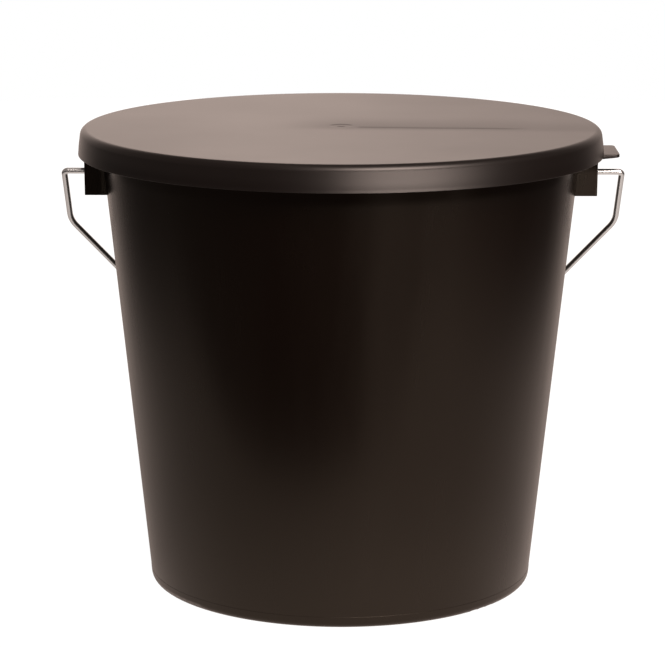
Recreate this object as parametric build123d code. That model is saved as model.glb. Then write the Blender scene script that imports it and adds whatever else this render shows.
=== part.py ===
from build123d import *
import math
import os

# A tapered plastic bucket with a press-on lid and a bent wire bail.
# Millimetres, +Z up, origin on the floor under the middle of the bucket.
# The bail hangs behind the bucket, at +Y. The lid's lift tab points to +X.

# Bucket wall and base
FOOT_RADIUS = 112.8          # outside of the wall, carried down to the floor
WALL_LEAN = 5.94             # degrees that the wall leans outward
WALL = 2.3                   # wall thickness
BUCKET_HEIGHT = 268.0        # floor to the top of the rim
BASE_THICKNESS = 2.8
BASE_RECESS = 3.0            # floor to the underside of the base
FOOT_RING_WIDTH = 10.0       # flat and rounded part that stands on the floor
FOOT_EDGE_RADIUS = 4.0       # rounded outer edge at the floor
FOOT_BAND_HEIGHT = 6.8       # faint band round the foot
FOOT_BAND_PROUD = 0.12       # how far it stands out from the wall
BASE_CORNER_RADIUS = 6.0     # inside corner between base and wall

# Rim
RIM_OVERHANG = 9.5           # rim edge beyond the wall
RIM_THICKNESS = 2.3          # flat top of the rim
RIM_LIP_HEIGHT = 9.0         # turned-down edge of the rim
RIM_LIP_WALL = 2.0
RIM_EDGE_RADIUS = 1.0

# Ears
EAR_WIDTH = 31.0
EAR_WALL = 2.2
EAR_SETBACK = 0.05           # ear's rounded face inside the rim edge
EAR_HEIGHT = 36.2            # top of the rim to the ear's lower edge
EAR_DRAFT = 0.5              # degrees that the ear's face leans in towards its lower edge
EAR_EDGE_RADIUS = 1.0
PIVOT_DROP = 24.2            # top of the rim to the bail's axis
BORE_CLEARANCE = 0.3         # round the wire in the ear

# Lid
LID_THICKNESS = 2.4
LID_SEAT_GAP = 0.3           # lid plate over the rim
LID_CLEARANCE = 0.4          # skirt round the rim
SKIRT_DEPTH = 15.3           # top of the lid to the skirt's lower edge
SKIRT_WALL = 1.9
SKIRT_FLARE = 0.9            # how far the skirt spreads towards its lower edge
LID_EDGE_RADIUS = 3.8
SKIRT_EDGE_RADIUS = 0.6
PLUG_DEPTH = 9.0             # ring inside the mouth, below the lid plate
PLUG_WALL = 2.0
PLUG_CLEARANCE = 0.5
GATE_RADIUS = 7.2            # round gate dimple in the middle of the lid and of the base
GATE_DEPTH = 0.5
GATE_STUB_RADIUS = 2.6       # cut-off sprue in the middle of the dimple
GATE_STUB_DROP = 0.1         # its top below the face

# Lift tab
TAB_REACH = 8.6              # beyond the skirt
TAB_DROP = 2.2               # underside at the skirt, below the skirt's lower edge
TAB_WIDTH = 38.0
TAB_SHIFT = 4.7              # how far it sits behind the lid's middle line
TAB_THICKNESS = 2.8          # at the skirt
TAB_TIP_THICKNESS = 1.7
TAB_CORNER_RADIUS = 3.0

# Bail
WIRE_DIAMETER = 3.5
BAIL_TAB_CLEARANCE = 0.3     # bail leg past the tip of the lift tab
BAIL_LEG = 41.2              # axis to the knee, the bend below the leg
BAIL_LEG_LEAN = 1.1          # how far each leg leans in towards its knee
BAIL_REACH = 222.0           # axis to the middle of the grip
BAIL_SHIFT = 1.2             # how far the bail lies to the right in its ears
BAIL_WALL_CLEARANCE = 0.8    # hanging bail's slanted left run off the wall
HOOK_PLAY = 0.9              # right hook to the inside of its ear's face
HOOK_SIDE_PLAY = 4.2         # end of the hook to the ear's sides, as the bail swings
HOOK_BEND = 2.6
PIVOT_BEND = 2.2
KNEE_BEND = 20.0
GRIP_BEND = 12.0

# Grip
GRIP_RADIUS = 10.5           # at its middle
GRIP_END_RADIUS = 9.3
GRIP_EDGE_RADIUS = 1.5
GRIP_BORE_CLEARANCE = 0.35
GRIP_END_GAP = 1.0           # grip end to the start of the wire's bend
GRIP_WALL_GAP = 0.35         # hanging grip off the bucket's wall

# Heights
lean = math.radians(WALL_LEAN)
base_top = BASE_RECESS + BASE_THICKNESS
rim_under = BUCKET_HEIGHT - RIM_THICKNESS
lip_bottom = BUCKET_HEIGHT - RIM_LIP_HEIGHT
ear_bottom = BUCKET_HEIGHT - EAR_HEIGHT
pivot_height = BUCKET_HEIGHT - PIVOT_DROP
lid_under = BUCKET_HEIGHT + LID_SEAT_GAP
lid_top = lid_under + LID_THICKNESS
skirt_bottom = lid_top - SKIRT_DEPTH
plug_bottom = lid_under - PLUG_DEPTH


def wall_radius(height):
    """Outside radius of the bucket's wall."""
    return FOOT_RADIUS + height * math.tan(lean)


def mouth_radius(height):
    """Inside radius of the bucket's wall."""
    return wall_radius(height) - WALL / math.cos(lean)


# Radii and places that follow from the fits
rim_radius = wall_radius(BUCKET_HEIGHT) + RIM_OVERHANG
skirt_inside = rim_radius + LID_CLEARANCE
skirt_outside = skirt_inside + SKIRT_WALL
skirt_radius = skirt_outside + SKIRT_FLARE
tab_tip = skirt_radius + TAB_REACH
ear_face = rim_radius - EAR_SETBACK
wire_radius = WIRE_DIAMETER / 2
tab_under = skirt_bottom - TAB_DROP
tab_top = tab_under + TAB_THICKNESS
tab_end = TAB_SHIFT + TAB_WIDTH / 2 - TAB_CORNER_RADIUS
lean_beside_tab = BAIL_LEG_LEAN * math.hypot(tab_top - pivot_height, tab_end) / BAIL_LEG
bail_half_width = tab_tip + BAIL_TAB_CLEARANCE + wire_radius + lean_beside_tab - BAIL_SHIFT
knee_half_width = bail_half_width - BAIL_LEG_LEAN
ear_slope = math.tan(math.radians(EAR_DRAFT))
face_at_axis = ear_face - ear_slope * (rim_under - pivot_height)
hook_place = face_at_axis - EAR_WALL - HOOK_PLAY - wire_radius - BAIL_SHIFT
hook_length = EAR_WIDTH / 2 - EAR_WALL - HOOK_SIDE_PLAY


def hang_angle():
    """Angle of the hanging bail below the horizontal, where its grip meets the rear wall."""
    axis_off_wall = wall_radius(pivot_height) * math.cos(lean) + GRIP_RADIUS + GRIP_WALL_GAP
    return lean + math.acos(axis_off_wall / BAIL_REACH)


def grip_half_span():
    """Half the distance between the wire's two bends beside the grip.

    In the plane of the hanging bail, the wall with room for the wire cuts an ellipse. Measured along the bail in
    a stretched scale, that ellipse is a circle, and the slanted run on the left, where the bail lies nearer to the
    wall, is a tangent to it.
    """
    sine = math.sin(hang_angle())
    cosine = math.cos(hang_angle())
    room = wall_radius(pivot_height) + (wire_radius + BAIL_WALL_CLEARANCE) / math.cos(lean)
    stretch = math.sqrt(cosine**2 - (sine * math.tan(lean)) ** 2)
    shift = room * sine * math.tan(lean) / stretch
    circle = math.hypot(room, shift)
    knee_place = BAIL_LEG * stretch + shift
    grip_place = BAIL_REACH * stretch + shift
    left_knee = knee_half_width - BAIL_SHIFT
    tangent = math.atan2(knee_place, left_knee) + math.acos(circle / math.hypot(left_knee, knee_place))
    return (circle - grip_place * math.sin(tangent)) / math.cos(tangent) + BAIL_SHIFT


def outline(corners):
    """A closed flat face from corner points, each with the radius that rounds it."""
    points = [point for point, rounding in corners]
    rounds = [rounding for point, rounding in corners]
    return make_face(FilletPolyline(*points, radius=rounds, close=True))


def turned(corners):
    """A solid turned about Z from corners given as (radius, height, rounding)."""
    return revolve(outline([((radius, 0, height), rounding) for radius, height, rounding in corners]), Axis.Z)


def bucket_shell():
    """Wall, recessed base, foot ring and turned-over rim."""
    ring_inside = FOOT_RADIUS - FOOT_RING_WIDTH
    lip_inside = rim_radius - RIM_LIP_WALL
    band_edge = FOOT_BAND_HEIGHT - FOOT_BAND_PROUD
    corners = [
        (0, BASE_RECESS, 0),
        (ring_inside - BASE_RECESS, BASE_RECESS, 0),
        (ring_inside, 0, 0),
        (FOOT_RADIUS + FOOT_BAND_PROUD, 0, FOOT_EDGE_RADIUS),
        (wall_radius(band_edge) + FOOT_BAND_PROUD, band_edge, 0),
        (wall_radius(FOOT_BAND_HEIGHT), FOOT_BAND_HEIGHT, 0),
        (wall_radius(rim_under), rim_under, RIM_EDGE_RADIUS),
        (lip_inside, rim_under, RIM_EDGE_RADIUS),
        (lip_inside, lip_bottom, 0),
        (rim_radius, lip_bottom, RIM_EDGE_RADIUS),
        (rim_radius, BUCKET_HEIGHT, RIM_EDGE_RADIUS),
        (mouth_radius(BUCKET_HEIGHT), BUCKET_HEIGHT, RIM_EDGE_RADIUS),
        (mouth_radius(base_top), base_top, BASE_CORNER_RADIUS),
        (0, base_top, 0),
    ]
    return turned(corners)


def ear():
    """A hollow ear on the +X side, open below, with a face rounded like the rim and the bore for the wire."""
    ear_inside = rim_under - ear_bottom
    face_lean = ear_slope * ear_inside
    root = mouth_radius(ear_bottom) - WALL

    def block(face, half_width):
        low_corners = [(root, ear_bottom, 0), (face - face_lean, ear_bottom, 0)]
        high_corners = [(face, rim_under, 0), (root, rim_under, 0)]
        slab = Pos(rim_radius, 0, (ear_bottom + rim_under) / 2) * Box(rim_radius, 2 * half_width, ear_inside)
        return turned(low_corners + high_corners) & slab

    outer = block(ear_face, EAR_WIDTH / 2)
    upright = outer.faces().sort_by(Axis.X)[-1].edges().filter_by(GeomType.CIRCLE, reverse=True)
    outer = fillet(upright, EAR_EDGE_RADIUS)
    hollow = block(ear_face - EAR_WALL, EAR_WIDTH / 2 - EAR_WALL)
    mouth_top = (mouth_radius(BUCKET_HEIGHT), BUCKET_HEIGHT, 0)
    mouth = turned([(0, 0, 0), (mouth_radius(0), 0, 0), mouth_top, (0, BUCKET_HEIGHT, 0)])
    bore = Rot(0, 90, 0) * Cylinder(wire_radius + BORE_CLEARANCE, 2 * (ear_face - hook_place))
    return outer - hollow - mouth - Pos(ear_face, 0, pivot_height) * bore


def gate():
    """What is cut from a face that looks up, at height 0: a round dimple with the sprue's stub left in it."""
    stub_height = GATE_DEPTH - GATE_STUB_DROP
    stub = Pos(0, 0, stub_height / 2 - GATE_DEPTH) * Cylinder(GATE_STUB_RADIUS, stub_height)
    return Cylinder(GATE_RADIUS, 2 * GATE_DEPTH) - stub


def bucket_body():
    right = ear()
    base_gate = Pos(0, 0, BASE_RECESS) * mirror(gate(), about=Plane.XY)
    return bucket_shell() + right + mirror(right, about=Plane.YZ) - base_gate


def lift_tab():
    """Tab on the skirt's lower edge, at +X, thinner towards its straight tip."""
    root = skirt_radius - SKIRT_WALL
    flat = Pos(tab_tip / 2, TAB_SHIFT) * Rectangle(tab_tip, TAB_WIDTH) - Circle(root)
    tip_corners = flat.vertices().sort_by(Axis.X)[-2:]
    block = Pos(0, 0, tab_under) * extrude(fillet(tip_corners, TAB_CORNER_RADIUS), amount=TAB_THICKNESS)
    reach = math.hypot(tab_tip, TAB_SHIFT + TAB_WIDTH / 2)
    tip_under = tab_top - TAB_TIP_THICKNESS
    return block & turned([(root, tab_under, 0), (reach, tip_under, 0), (reach, tab_top, 0), (root, tab_top, 0)])


def lid():
    """Plate, skirt over the rim, ring inside the mouth and lift tab."""
    plug_radius = mouth_radius(plug_bottom) - PLUG_CLEARANCE
    plug_taper = PLUG_DEPTH * math.tan(lean)
    corners = [
        (0, lid_top, 0),
        (skirt_outside, lid_top, LID_EDGE_RADIUS),
        (skirt_radius, skirt_bottom, SKIRT_EDGE_RADIUS),
        (skirt_radius - SKIRT_WALL, skirt_bottom, SKIRT_EDGE_RADIUS),
        (skirt_inside, lid_under, SKIRT_EDGE_RADIUS),
        (plug_radius + plug_taper, lid_under, 0),
        (plug_radius, plug_bottom, SKIRT_EDGE_RADIUS),
        (plug_radius - PLUG_WALL, plug_bottom, SKIRT_EDGE_RADIUS),
        (plug_radius - PLUG_WALL, lid_under, SKIRT_EDGE_RADIUS),
        (0, lid_under, 0),
    ]
    return turned(corners) + lift_tab() - Pos(0, 0, lid_top) * gate()


def hanging():
    """Plane of the hanging bail: X along the axis, Y from the axis down to the grip."""
    down = (0, math.cos(hang_angle()), -math.sin(hang_angle()))
    middle = (BAIL_SHIFT, 0, pivot_height)
    return Plane(origin=middle, x_dir=(1, 0, 0), z_dir=Vector(1, 0, 0).cross(Vector(down)))


def bail_wire():
    """One bent wire, hooked at both ends inside the ears."""
    grip_bend_place = grip_half_span()
    half = [
        (hook_place, hook_length, None),
        (hook_place, 0, HOOK_BEND),
        (bail_half_width, 0, PIVOT_BEND),
        (knee_half_width, BAIL_LEG, KNEE_BEND),
        (grip_bend_place, BAIL_REACH, GRIP_BEND),
    ]
    other_half = [(-across, down, bend) for across, down, bend in reversed(half)]
    route = half + other_half
    bends = [bend for across, down, bend in route if bend is not None]
    path = hanging() * FilletPolyline(*[point[:2] for point in route], radius=bends)
    section = Plane(origin=path @ 0, z_dir=path % 0) * Circle(wire_radius)
    wire = sweep(section, path=path)
    print("bail wire: volume", wire.volume, "section times length", section.area * path.length)
    return wire


def bail_grip():
    """Crowned roll grip, loose on the straight middle of the wire."""
    half_span = grip_half_span()
    turn = math.atan2(BAIL_REACH - BAIL_LEG, knee_half_width - half_span)
    half_length = half_span - GRIP_BEND * math.tan(turn / 2) - GRIP_END_GAP
    bore = wire_radius + GRIP_BORE_CLEARANCE
    crown = ThreePointArc((-half_length, GRIP_END_RADIUS), (0, GRIP_RADIUS), (half_length, GRIP_END_RADIUS))
    ends = Polyline((half_length, GRIP_END_RADIUS), (half_length, bore), (-half_length, bore),
                    (-half_length, GRIP_END_RADIUS))
    side = make_face(crown + ends)
    outer_corners = side.vertices().group_by(Axis.Y)[-1]
    grip = revolve(fillet(outer_corners, GRIP_EDGE_RADIUS), Axis.X)
    place = hanging()
    place.origin = place.from_local_coords((0, BAIL_REACH, 0))
    print("bail grip: length", 2 * half_length, "centre", place.origin)
    return place * grip


os.makedirs("parts", exist_ok=True)
print("lid radius", skirt_radius, "height", lid_top, "bail half width", bail_half_width)
print("pivot height", pivot_height, "hang angle", math.degrees(hang_angle()), "grip half span", grip_half_span())
for node, shape in {
    "bucket_body": bucket_body(),
    "lid": lid(),
    "bail_wire": bail_wire(),
    "bail_grip": bail_grip(),
}.items():
    export_step(shape, f"parts/{node}.step")
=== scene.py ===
import math

import bmesh
import bpy
from mathutils import Matrix, Vector


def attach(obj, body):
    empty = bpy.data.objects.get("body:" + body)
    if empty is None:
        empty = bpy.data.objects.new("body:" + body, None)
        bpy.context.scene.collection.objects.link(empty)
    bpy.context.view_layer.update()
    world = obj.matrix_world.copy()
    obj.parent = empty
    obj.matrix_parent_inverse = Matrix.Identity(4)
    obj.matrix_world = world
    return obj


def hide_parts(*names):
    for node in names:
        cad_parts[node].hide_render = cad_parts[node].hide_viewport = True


# A black plastic bucket with its lid on and a wire bail hanging behind it.
# Metres, +Z up, origin on the floor under the middle of the bucket.

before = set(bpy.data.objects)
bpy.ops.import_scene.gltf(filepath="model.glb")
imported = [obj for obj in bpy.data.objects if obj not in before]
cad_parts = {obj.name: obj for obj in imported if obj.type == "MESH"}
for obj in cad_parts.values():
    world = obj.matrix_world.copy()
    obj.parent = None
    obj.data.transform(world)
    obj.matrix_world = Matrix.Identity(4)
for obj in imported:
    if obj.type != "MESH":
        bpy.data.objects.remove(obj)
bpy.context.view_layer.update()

# Camera
CAMERA_PLACE = (0.0, -1.6591, 0.5037)
CAMERA_PITCH = 0.2088            # radians below the horizon
CAMERA_TURN = 0.0029             # radians to the left
CAMERA_ROLL = 0.0017             # radians
SENSOR_WIDTH = 36.0              # millimetres
LENS = 154.84                    # millimetres

# Lid
LID_TOP = 0.2707
LID_UNDER = 0.2683               # underside of the plate
SKIRT_BOTTOM = 0.2556
SKIRT_RADIUS = 0.153384          # at its lower edge
SKIRT_HIGH_SLOPE = math.radians(7.6)  # how far the skirt's upper half leans back
SKIRT_LOW_SLOPE = math.radians(3.2)   # its lower half
SKIRT_BEAD_SLOPE = math.radians(5.6)  # and the bead along its edge
SKIRT_BEAD = 0.0016              # height of the bead
SKIRT_BEAD_FOOT = 0.008          # radius that blends it into the skirt
SKIRT_BULGE_HEIGHT = 0.2605      # where the two halves meet
SKIRT_BULGE = 0.060              # radius that blends them
SKIRT_WALL = 0.0019
SKIRT_INSIDE = 0.150583          # inside of the skirt at the plate
LID_EDGE = 0.0041                # radius of the rounded upper edge
LIP_EDGE = 0.0002                # and of the skirt's lower edge
SMALL_EDGE = 0.0005
PLUG_BOTTOM = 0.2593             # ring inside the mouth
PLUG_RADIUS = 0.136966           # at its lower edge
PLUG_TOP_RADIUS = 0.137902
PLUG_WALL = 0.002
GATE_RADIUS = 0.0072             # soft dimple in the middle
GATE_FLOOR_RADIUS = 0.0052
GATE_DEPTH = 0.00025
GATE_SOFT = 0.008                # radius that softens its slope
STUB_RADIUS = 0.0020             # cut-off sprue in the dimple
STUB_FOOT_RADIUS = 0.0026
STUB_DROP = 0.0001
STUB_EDGE = 0.0012
TURN_STEPS = 192                 # sides of a turned ring
ROUNDING_STEP = math.radians(6)  # angle between the rings of a rounding
ROUNDING_LEAST = 4               # fewest steps of a rounding
ROUNDING_SUPPORT = 0.00005       # extra ring beside each rounding, which keeps flat faces flat

# Lift tab
TAB_TIP = 0.161984               # distance of the straight tip from the lid's axis
TAB_ROOT = 0.1522                # radius of the root, inside the skirt's wall
TAB_HALF_WIDTH = 0.019
TAB_SHIFT = 0.0047               # how far it sits behind the lid's middle line
TAB_TOP = 0.2560
TAB_ROOT_UNDER = 0.2532
TAB_TIP_UNDER = 0.2543
TAB_CORNER = 0.003
TAB_ARC_STEPS = 10               # steps of each arc in its plan
TAB_EDGE = 0.0005
TAB_EDGE_STEPS = 3
TAB_EDGE_PROFILE = 0.5           # round
SHARP_ANGLE = math.radians(25)   # steeper edges stay crisp

# Flow line in the lid, from the gate to the right
FLOW_START = (0.008, -0.0065)
FLOW_END = (0.112, -0.0125)
FLOW_FADE = 0.02                 # length over which it dies out
FLOW_HEAD = 0.004                # and comes in
FLOW_WIDTH = 0.0042
FLOW_WANDER = 0.0006             # how far it strays to each side
FLOW_WANDER_SCALE = 30.0
FLOW_MATT = 0.075                # how much rougher the line is
SHADE_NEAR = 0.016               # width of the faint shade in front of it
SHADE_FAR = 0.050                # and behind it
SHADE_MATT = 0.046               # how much rougher the shade is
SHADE_START = (-0.045, 0.010)    # it comes in between these places
SHADE_END = (0.02, 0.12)         # and weakens between these
SHADE_REST = 0.5                 # to this share

# Roughness
LID_MATT = (0.345, 0.36)
LID_TILT_PLACE = (-0.06, 0.12)   # from left to right over the lid
LID_TILT = (-0.014, 0.025)       # this is added to it
BUCKET_MATT = (0.24, 0.28)
BUCKET_POLISH = 0.12             # this is taken off it
BUCKET_POLISH_BAND = (0.2445, 0.2505)  # towards the rim, between these heights
BUCKET_POLISH_EAR = (-0.141, -0.138)   # and on the left ear, between these places
GRIP_MATT = (0.34, 0.42)
ZINC_MATT = (0.18, 0.24)
GLASS_MATT = 0.9

# Studio light, as directions from the object
WHITE = (1.0, 1.0, 1.0, 1.0)
WARM = (1.0, 0.80, 0.71, 1.0)    # tint of all that the object mirrors
ROOM = 0.18                      # dim room all round
ROOM_RIGHT = 0.15                # which sinks to this on the right
ROOM_RIGHT_PLACE = (0.0, 0.7)    # between these sines of the angle to the right
ROOM_LEFT = 1.3                  # and is so many times lighter far on the left
ROOM_LEFT_PLACE = (-0.9, -0.4)   # between these sines
ROOM_LOW = 0.35                  # share of it that is left below the horizon
HORIZON = (-0.02, 0.02)          # radians
CEILING = 0.27
CEILING_HEIGHT = (0.9, 1.4)      # radians above the horizon, between which it fades in
LOW_GLOW = 0.40                  # floor beyond the table, lit on the right
LOW_GLOW_LEFT = (math.radians(6), math.radians(20))     # fades in between these angles from the front
LOW_GLOW_RIGHT = (math.radians(75), math.radians(110))  # out between these
LOW_GLOW_TOP = (-0.42, -0.36)    # and out between these heights in radians
SOFTBOX = 17.0                   # softbox high up to the right of the camera
SOFTBOX_LEFT = (math.radians(-4), math.radians(18))   # fades in between these angles from the front
SOFTBOX_RIGHT = (math.radians(30), math.radians(68))  # out between these
SOFTBOX_FOOT = (math.radians(25), math.radians(33))   # in between these heights
SOFTBOX_TOP = (math.radians(42), math.radians(72))    # and out between these
STRIP = 25.0                     # strip light below it, as wide, at the horizon
STRIP_FOOT = (math.radians(-3), math.radians(4))      # fades in between these heights
STRIP_TOP = (math.radians(4), math.radians(9))        # and out between these
BACKDROP = 2.14                  # bright backdrop behind
BACKDROP_SIDES = (math.radians(-26), math.radians(54))  # fades out between these angles from the rear
BACKDROP_FOOT = (math.radians(-24), math.radians(-16))  # in between these heights
BACKDROP_TOP = (math.radians(9), math.radians(39))      # and out between these

# Light table that the bucket stands on
TABLE_RADIUS = 2.2
TABLE_STEPS = 128                # sides of its round edge
TABLE_GLOW = 0.50
TABLE_GLOW_FOOT = 0.32           # more near the foot
TABLE_NEAR = (0.12, 0.32)        # which fades out between these distances from the middle
TABLE_GLOW_REST = 0.15           # and has only this share behind the bucket
TABLE_GLOW_REAR = (-0.10, 0.02)  # from front to rear between these places
TABLE_DIM_LEFT = 0.78            # share of the glow on the left
TABLE_DIM = (-0.2, 0.05)         # from left to right between these places
TABLE_SLANT = math.radians(18)   # the front edge runs further out on the right
TABLE_FRONT = (-0.34, -0.27)     # the table fades in between these distances
TABLE_LEFT = (-0.80, -0.30)      # in between these places
TABLE_RIGHT = (0.33, 0.78)       # and out between these

# Plastic, wire and glass
PLASTIC_DARK = (0.0017, 0.0007, 0.0004)
PLASTIC_LIGHT = (0.0025, 0.0010, 0.0006)
PLASTIC_IOR = 1.43
PLASTIC_SHEEN = (1.0, 0.94, 0.80, 1.0)  # tint of its gloss
LID_IOR = 1.50
CLOUD_SCALE = 22.0               # slow waves from cooling
CLOUD_DEPTH = 0.0002
CLOUD_STRENGTH = 0.08
LID_CLOUD_SCALE = 14.0
STREAK_SCALE = 60.0              # uneven gloss
STREAK_STRETCH = (1, 1, 0.12)    # drawn out up and down the wall
GRAIN_SCALE = 1500.0
GRAIN_DEPTH = 0.00002
GRAIN_STRENGTH = 0.3
ZINC_DARK = (0.74, 0.83, 0.88)
ZINC_LIGHT = (0.90, 0.97, 1.0)
ZINC_PATCH_SCALE = 300.0
DRAWN_SCALE = 1400.0             # marks from drawing the wire
DRAWN_DEPTH = 0.00002
DRAWN_STRENGTH = 0.2
GLASS_DARK = (0.09, 0.09, 0.09)
GLASS_LIGHT = (0.11, 0.11, 0.11)
GLASS_SPECK_SCALE = 400.0
NOISE_RANGE = (0.3, 0.7)         # between these lies nearly all of a noise


def link(tree, source, target):
    tree.links.new(source, target)


def new_material(name):
    """A material with its node tree and its shader."""
    material = bpy.data.materials.new(name)
    material.use_nodes = True
    return material, material.node_tree, material.node_tree.nodes["Principled BSDF"]


def noise(tree, coordinates, scale, detail, stretch=(1, 1, 1)):
    """Noise in object space, with its coordinates stretched along each axis."""
    mapping = tree.nodes.new("ShaderNodeMapping")
    mapping.inputs["Scale"].default_value = stretch
    texture = tree.nodes.new("ShaderNodeTexNoise")
    texture.inputs["Scale"].default_value = scale
    texture.inputs["Detail"].default_value = detail
    link(tree, coordinates, mapping.inputs["Vector"])
    link(tree, mapping.outputs["Vector"], texture.inputs["Vector"])
    return texture.outputs["Fac"]


def ramp(tree, value, start, end, low, high, shape="SMOOTHSTEP"):
    """From low to high as the value goes from start to end."""
    ranged = tree.nodes.new("ShaderNodeMapRange")
    ranged.interpolation_type = shape
    ranged.inputs["From Min"].default_value = start
    ranged.inputs["From Max"].default_value = end
    ranged.inputs["To Min"].default_value = low
    ranged.inputs["To Max"].default_value = high
    link(tree, value, ranged.inputs["Value"])
    return ranged.outputs["Result"]


def spread(tree, value, low, high):
    """Noise spread between low and high."""
    return ramp(tree, value, *NOISE_RANGE, low, high, "LINEAR")


def combine(tree, operation, first, *others):
    """One kind of sum over several values: first a socket, then numbers or sockets."""
    for other in others:
        node = tree.nodes.new("ShaderNodeMath")
        node.operation = operation
        link(tree, first, node.inputs[0])
        if isinstance(other, (int, float)):
            node.inputs[1].default_value = other
        else:
            link(tree, other, node.inputs[1])
        first = node.outputs[0]
    return first


def single(tree, operation, value):
    """A sum that takes one value."""
    node = tree.nodes.new("ShaderNodeMath")
    node.operation = operation
    link(tree, value, node.inputs[0])
    return node.outputs[0]


def axes(tree, vector):
    """The three parts of a vector."""
    parts = tree.nodes.new("ShaderNodeSeparateXYZ")
    link(tree, vector, parts.inputs["Vector"])
    return parts.outputs


def two_colours(tree, value, first, second):
    """A colour between two others."""
    mix = tree.nodes.new("ShaderNodeMix")
    mix.data_type = "RGBA"
    mix.inputs["A"].default_value = (*first, 1)
    mix.inputs["B"].default_value = (*second, 1)
    link(tree, value, mix.inputs["Factor"])
    return mix.outputs["Result"]


def bump(tree, height, distance, strength, below=None):
    """A fine relief, laid over another one where there is one below."""
    node = tree.nodes.new("ShaderNodeBump")
    node.inputs["Distance"].default_value = distance
    node.inputs["Strength"].default_value = strength
    link(tree, height, node.inputs["Height"])
    if below is not None:
        link(tree, below, node.inputs["Normal"])
    return node.outputs["Normal"]


def moulded_plastic(name, roughness, polish):
    """Black moulded plastic: fine grain, slow waves from cooling, slightly uneven gloss."""
    material, tree, shader = new_material(name)
    place = tree.nodes.new("ShaderNodeTexCoord").outputs["Object"]
    cloud = noise(tree, place, CLOUD_SCALE, detail=3.0)
    grain = noise(tree, place, GRAIN_SCALE, detail=2.0)
    streak = noise(tree, place, STREAK_SCALE, detail=5.0, stretch=STREAK_STRETCH)
    across, _, up = axes(tree, place)
    link(tree, two_colours(tree, cloud, PLASTIC_DARK, PLASTIC_LIGHT), shader.inputs["Base Color"])
    polished = combine(tree, "MAXIMUM",
                       ramp(tree, up, *BUCKET_POLISH_BAND, 0, polish),
                       ramp(tree, across, *BUCKET_POLISH_EAR, polish, 0))
    gloss = combine(tree, "SUBTRACT", spread(tree, streak, *roughness), polished)
    link(tree, gloss, shader.inputs["Roughness"])
    waves = bump(tree, cloud, CLOUD_DEPTH, CLOUD_STRENGTH)
    link(tree, bump(tree, grain, GRAIN_DEPTH, GRAIN_STRENGTH, waves), shader.inputs["Normal"])
    shader.inputs["IOR"].default_value = PLASTIC_IOR
    shader.inputs["Specular Tint"].default_value = PLASTIC_SHEEN
    return material


def lid_plastic():
    """The same plastic with a matt top, and a fine flow line from the gate."""
    material, tree, shader = new_material("lid_black")
    place = tree.nodes.new("ShaderNodeTexCoord").outputs["Object"]
    across, deep, up = axes(tree, place)
    cloud = noise(tree, place, LID_CLOUD_SCALE, detail=3.0)
    grain = noise(tree, place, GRAIN_SCALE, detail=2.0)
    wander = noise(tree, place, FLOW_WANDER_SCALE, detail=2.0, stretch=(1, 0, 0))
    slope = (FLOW_END[1] - FLOW_START[1]) / (FLOW_END[0] - FLOW_START[0])
    behind = combine(tree, "ADD", deep,
                     combine(tree, "MULTIPLY", across, -slope),
                     slope * FLOW_START[0] - FLOW_START[1],
                     spread(tree, wander, -FLOW_WANDER, FLOW_WANDER))
    off_line = single(tree, "ABSOLUTE", behind)
    line = combine(tree, "MULTIPLY",
                   ramp(tree, off_line, 0, FLOW_WIDTH, FLOW_MATT, 0),
                   ramp(tree, across, FLOW_START[0], FLOW_START[0] + FLOW_HEAD, 0, 1),
                   ramp(tree, across, FLOW_END[0] - FLOW_FADE, FLOW_END[0], 1, 0),
                   ramp(tree, up, LID_UNDER, LID_TOP - GATE_DEPTH, 0, 1))
    shade = combine(tree, "MULTIPLY",
                    ramp(tree, behind, -SHADE_NEAR, 0, 0, SHADE_MATT),
                    ramp(tree, behind, 0, SHADE_FAR, 1, 0),
                    ramp(tree, across, *SHADE_START, 0, 1),
                    ramp(tree, across, *SHADE_END, 1, SHADE_REST))
    tilt = ramp(tree, across, *LID_TILT_PLACE, *LID_TILT)
    link(tree, two_colours(tree, cloud, PLASTIC_DARK, PLASTIC_LIGHT), shader.inputs["Base Color"])
    gloss = combine(tree, "ADD", spread(tree, cloud, *LID_MATT), line, shade, tilt)
    link(tree, gloss, shader.inputs["Roughness"])
    link(tree, bump(tree, grain, GRAIN_DEPTH, GRAIN_STRENGTH), shader.inputs["Normal"])
    shader.inputs["IOR"].default_value = LID_IOR
    return material


def galvanised_wire():
    """Drawn steel wire with zinc patches."""
    material, tree, shader = new_material("galvanised_wire")
    place = tree.nodes.new("ShaderNodeTexCoord").outputs["Object"]
    patches = noise(tree, place, ZINC_PATCH_SCALE, detail=4.0)
    drawn = noise(tree, place, DRAWN_SCALE, detail=3.0)
    link(tree, two_colours(tree, patches, ZINC_DARK, ZINC_LIGHT), shader.inputs["Base Color"])
    link(tree, spread(tree, patches, *ZINC_MATT), shader.inputs["Roughness"])
    link(tree, bump(tree, drawn, DRAWN_DEPTH, DRAWN_STRENGTH), shader.inputs["Normal"])
    shader.inputs["Metallic"].default_value = 1.0
    return material


def eye_or_mirror(tree, kind, seen, mirrored):
    """One value or colour for the eye and another for what the object mirrors."""
    mix = tree.nodes.new("ShaderNodeMix")
    mix.data_type = kind
    link(tree, tree.nodes.new("ShaderNodeLightPath").outputs["Is Camera Ray"], mix.inputs["Factor"])
    mix.inputs["B"].default_value = seen
    if isinstance(mirrored, tuple):
        mix.inputs["A"].default_value = mirrored
    else:
        link(tree, mirrored, mix.inputs["A"])
    return mix.outputs["Result"]


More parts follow.
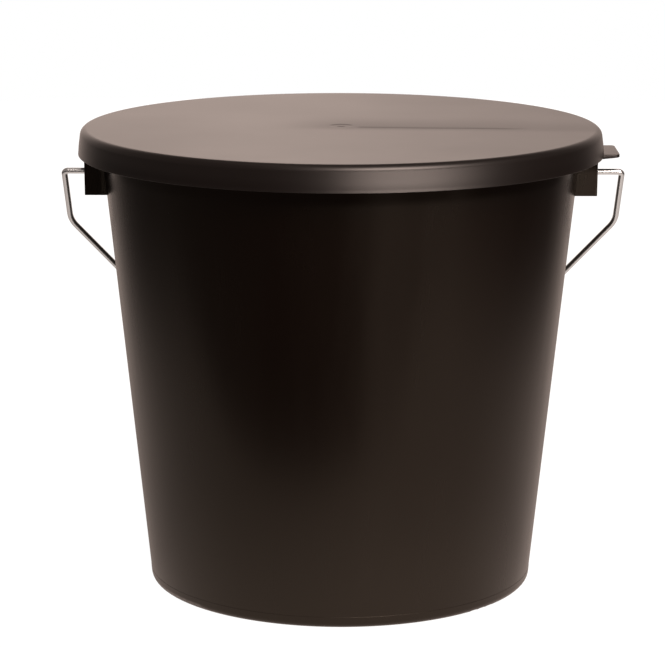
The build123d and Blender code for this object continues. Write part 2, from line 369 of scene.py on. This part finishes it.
def opal_glass():
    """A lit table, white to the eye, which ends at a slanted front edge and fades out at the sides."""
    material, tree, shader = new_material("opal_glass")
    place = tree.nodes.new("ShaderNodeTexCoord").outputs["Object"]
    across, deep, _ = axes(tree, place)
    specks = noise(tree, place, GLASS_SPECK_SCALE, detail=6.0)
    link(tree, two_colours(tree, specks, GLASS_DARK, GLASS_LIGHT), shader.inputs["Base Color"])
    shader.inputs["Roughness"].default_value = GLASS_MATT
    shader.inputs["Specular IOR Level"].default_value = 0.0
    distance = tree.nodes.new("ShaderNodeVectorMath")
    distance.operation = "LENGTH"
    link(tree, place, distance.inputs[0])
    by_foot = combine(tree, "MULTIPLY",
                      ramp(tree, distance.outputs["Value"], *TABLE_NEAR, TABLE_GLOW_FOOT, 0),
                      ramp(tree, deep, *TABLE_GLOW_REAR, 1, TABLE_GLOW_REST))
    glow = combine(tree, "MULTIPLY",
                   combine(tree, "ADD", by_foot, TABLE_GLOW),
                   ramp(tree, across, *TABLE_DIM, TABLE_DIM_LEFT, 1))
    link(tree, eye_or_mirror(tree, "RGBA", WHITE, WARM), shader.inputs["Emission Color"])
    link(tree, eye_or_mirror(tree, "FLOAT", 1.0, glow), shader.inputs["Emission Strength"])
    slanted = combine(tree, "ADD",
                      combine(tree, "MULTIPLY", across, math.sin(TABLE_SLANT)),
                      combine(tree, "MULTIPLY", deep, math.cos(TABLE_SLANT)))
    shape = combine(tree, "MULTIPLY",
                    ramp(tree, slanted, *TABLE_FRONT, 0, 1),
                    ramp(tree, across, *TABLE_LEFT, 0, 1),
                    ramp(tree, across, *TABLE_RIGHT, 1, 0))
    link(tree, shape, shader.inputs["Alpha"])
    return material


def finish_node(node, material):
    """Gives a solid its material."""
    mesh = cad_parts[node].data
    mesh.materials.clear()
    mesh.materials.append(material)


def rounded(corners):
    """Points along a line with rounded corners, each given as radius, height and rounding."""
    points = []
    for index, (radius, height, rounding) in enumerate(corners):
        here = Vector((radius, height))
        if rounding == 0:
            points.append(here)
            continue
        back = (Vector(corners[index - 1][:2]) - here).normalized()
        ahead = (Vector(corners[index + 1][:2]) - here).normalized()
        half = back.angle(ahead) / 2
        middle = here + (back + ahead).normalized() * rounding / math.sin(half)
        start = here + back * rounding / math.tan(half)
        turn = math.pi - 2 * half
        side = 1 if back.cross(ahead) < 0 else -1
        steps = max(ROUNDING_LEAST, round(turn / ROUNDING_STEP))
        points.append(start + back * ROUNDING_SUPPORT)
        for count in range(steps + 1):
            swing = Matrix.Rotation(side * turn * count / steps, 2)
            points.append(middle + swing @ (start - middle))
        points.append(here + ahead * (rounding / math.tan(half) + ROUNDING_SUPPORT))
    return points


def turned(mesh, points):
    """A closed skin turned about Z from a line that starts and ends on the axis."""
    rings = []
    for radius, height in points:
        if radius == 0:
            rings.append([mesh.verts.new((0, 0, height))] * TURN_STEPS)
            continue
        ring = []
        for step in range(TURN_STEPS):
            angle = 2 * math.pi * step / TURN_STEPS
            ring.append(mesh.verts.new((radius * math.cos(angle), radius * math.sin(angle), height)))
        rings.append(ring)
    for upper, lower in zip(rings, rings[1:]):
        for step in range(TURN_STEPS):
            following = (step + 1) % TURN_STEPS
            around = [upper[step], lower[step], lower[following], upper[following]]
            corners = list(dict.fromkeys(around))  # only three at the axis
            mesh.faces.new(corners)


def arc(middle, radius, start, end):
    """Points on an arc from one angle to another."""
    angles = [start + (end - start) * step / TAB_ARC_STEPS for step in range(TAB_ARC_STEPS + 1)]
    return [middle + radius * Vector((math.cos(angle), math.sin(angle))) for angle in angles]


def tab_outline():
    """Plan of the lift tab: straight sides and tip, rounded corners, and a root round the lid's axis."""
    far_side = TAB_SHIFT + TAB_HALF_WIDTH
    near_side = TAB_SHIFT - TAB_HALF_WIDTH
    far_corner = Vector((TAB_TIP - TAB_CORNER, far_side - TAB_CORNER))
    near_corner = Vector((TAB_TIP - TAB_CORNER, near_side + TAB_CORNER))
    root = arc(Vector((0, 0)), TAB_ROOT, math.asin(far_side / TAB_ROOT), math.asin(near_side / TAB_ROOT))
    return arc(far_corner, TAB_CORNER, 0, math.pi / 2) + root + arc(near_corner, TAB_CORNER, -math.pi / 2, 0)


def lift_tab(mesh):
    """Tab with a flat top and an underside that rises towards the tip, with softened edges."""
    plan = tab_outline()

    def under(point):
        share = (point.length - TAB_ROOT) / (TAB_TIP - TAB_ROOT)
        return TAB_ROOT_UNDER + share * (TAB_TIP_UNDER - TAB_ROOT_UNDER)

    top = [mesh.verts.new((point.x, point.y, TAB_TOP)) for point in plan]
    low = [mesh.verts.new((point.x, point.y, under(point))) for point in plan]
    faces = [mesh.faces.new(top), mesh.faces.new(low[::-1])]
    for index in range(len(plan)):
        following = (index + 1) % len(plan)
        mesh.faces.new([top[following], top[index], low[index], low[following]])
    edges = [edge for face in faces for edge in face.edges]
    bmesh.ops.bevel(mesh, geom=edges, offset=TAB_EDGE, segments=TAB_EDGE_STEPS,
                    profile=TAB_EDGE_PROFILE, affect="EDGES")


def lid_piece():
    """Plate with a gate dimple, rounded edge, bulging skirt, ring inside the mouth and lift tab."""
    bead_top = SKIRT_BOTTOM + SKIRT_BEAD
    bead_radius = SKIRT_RADIUS - math.tan(SKIRT_BEAD_SLOPE) * SKIRT_BEAD
    bulge_radius = bead_radius - math.tan(SKIRT_LOW_SLOPE) * (SKIRT_BULGE_HEIGHT - bead_top)
    edge_radius = bulge_radius - math.tan(SKIRT_HIGH_SLOPE) * (LID_TOP - SKIRT_BULGE_HEIGHT)
    plug_inside = PLUG_RADIUS - PLUG_WALL
    points = rounded([
        (0, LID_TOP - STUB_DROP, 0),
        (STUB_RADIUS, LID_TOP - STUB_DROP, STUB_EDGE),
        (STUB_FOOT_RADIUS, LID_TOP - GATE_DEPTH, STUB_EDGE),
        (GATE_FLOOR_RADIUS, LID_TOP - GATE_DEPTH, GATE_SOFT),
        (GATE_RADIUS, LID_TOP, GATE_SOFT),
        (edge_radius, LID_TOP, LID_EDGE),
        (bulge_radius, SKIRT_BULGE_HEIGHT, SKIRT_BULGE),
        (bead_radius, bead_top, SKIRT_BEAD_FOOT),
        (SKIRT_RADIUS, SKIRT_BOTTOM, LIP_EDGE),
        (SKIRT_RADIUS - SKIRT_WALL, SKIRT_BOTTOM, SMALL_EDGE),
        (SKIRT_INSIDE, LID_UNDER, SMALL_EDGE),
        (PLUG_TOP_RADIUS, LID_UNDER, SMALL_EDGE),
        (PLUG_RADIUS, PLUG_BOTTOM, SMALL_EDGE),
        (plug_inside, PLUG_BOTTOM, SMALL_EDGE),
        (plug_inside, LID_UNDER, SMALL_EDGE),
        (0, LID_UNDER, 0),
    ])
    skin = bmesh.new()
    turned(skin, points)
    lift_tab(skin)
    bmesh.ops.recalc_face_normals(skin, faces=skin.faces)
    mesh = bpy.data.meshes.new("lid_moulding")
    skin.to_mesh(mesh)
    skin.free()
    mesh.shade_smooth()
    mesh.set_sharp_from_angle(angle=SHARP_ANGLE)
    mesh.materials.append(lid_plastic())
    piece = bpy.data.objects.new("lid_moulding", mesh)
    bpy.context.scene.collection.objects.link(piece)
    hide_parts("lid")
    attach(piece, "lid")


def light_table():
    """Round pale table that the bucket stands on."""
    mesh = bpy.data.meshes.new("light_table")
    disc = bmesh.new()
    bmesh.ops.create_circle(disc, cap_ends=True, segments=TABLE_STEPS, radius=TABLE_RADIUS)
    disc.to_mesh(mesh)
    disc.free()
    mesh.materials.append(opal_glass())
    piece = bpy.data.objects.new("light_table", mesh)
    bpy.context.scene.collection.objects.link(piece)


def camera():
    """A long lens that looks slightly down from the front."""
    lens = bpy.data.cameras.new("camera")
    lens.sensor_fit = "HORIZONTAL"
    lens.sensor_width = SENSOR_WIDTH
    lens.lens = LENS
    eye = bpy.data.objects.new("camera", lens)
    turn = Matrix.Rotation(CAMERA_TURN, 4, "Z")
    pitch = Matrix.Rotation(math.pi / 2 - CAMERA_PITCH, 4, "X")
    roll = Matrix.Rotation(CAMERA_ROLL, 4, "Z")
    eye.matrix_world = Matrix.Translation(CAMERA_PLACE) @ turn @ pitch @ roll
    bpy.context.scene.collection.objects.link(eye)
    bpy.context.scene.camera = eye


def studio():
    """White for the eye. The object mirrors a dim room, a lit floor, two lights and a backdrop."""
    world = bpy.data.worlds.new("studio")
    bpy.context.scene.world = world
    world.use_nodes = True
    tree = world.node_tree
    background = tree.nodes["Background"]
    right, rear, up = axes(tree, tree.nodes.new("ShaderNodeTexCoord").outputs["Generated"])
    front = combine(tree, "MULTIPLY", rear, -1.0)
    from_camera = combine(tree, "ARCTAN2", right, front)
    from_rear = single(tree, "ABSOLUTE", combine(tree, "ARCTAN2", right, rear))
    height = single(tree, "ARCSINE", up)
    room = combine(tree, "MULTIPLY",
                   ramp(tree, right, *ROOM_RIGHT_PLACE, ROOM, ROOM_RIGHT),
                   ramp(tree, right, *ROOM_LEFT_PLACE, ROOM_LEFT, 1),
                   ramp(tree, height, *HORIZON, ROOM_LOW, 1))
    ceiling = ramp(tree, height, *CEILING_HEIGHT, 0, CEILING)
    low_glow = combine(tree, "MULTIPLY",
                       ramp(tree, from_camera, *LOW_GLOW_LEFT, 0, LOW_GLOW),
                       ramp(tree, from_camera, *LOW_GLOW_RIGHT, 1, 0),
                       ramp(tree, height, *LOW_GLOW_TOP, 1, 0))
    softbox = combine(tree, "MULTIPLY",
                      ramp(tree, height, *SOFTBOX_FOOT, 0, SOFTBOX),
                      ramp(tree, height, *SOFTBOX_TOP, 1, 0))
    strip = combine(tree, "MULTIPLY",
                    ramp(tree, height, *STRIP_FOOT, 0, STRIP),
                    ramp(tree, height, *STRIP_TOP, 1, 0))
    front_lights = combine(tree, "MULTIPLY",
                           combine(tree, "ADD", softbox, strip),
                           ramp(tree, from_camera, *SOFTBOX_LEFT, 0, 1),
                           ramp(tree, from_camera, *SOFTBOX_RIGHT, 1, 0))
    backdrop = combine(tree, "MULTIPLY",
                       ramp(tree, from_rear, *BACKDROP_SIDES, BACKDROP, 0),
                       ramp(tree, height, *BACKDROP_FOOT, 0, 1),
                       ramp(tree, height, *BACKDROP_TOP, 1, 0))
    light = combine(tree, "ADD", room, ceiling, low_glow, front_lights, backdrop)
    link(tree, eye_or_mirror(tree, "RGBA", WHITE, WARM), background.inputs["Color"])
    link(tree, eye_or_mirror(tree, "FLOAT", 1.0, light), background.inputs["Strength"])


# The pieces
finish_node("bucket_body", moulded_plastic("bucket_black", BUCKET_MATT, BUCKET_POLISH))
finish_node("bail_grip", moulded_plastic("grip_black", GRIP_MATT, 0))
finish_node("bail_wire", galvanised_wire())
lid_piece()

# Table, camera and light
light_table()
camera()
studio()
bpy.context.scene.view_settings.view_transform = "Standard"
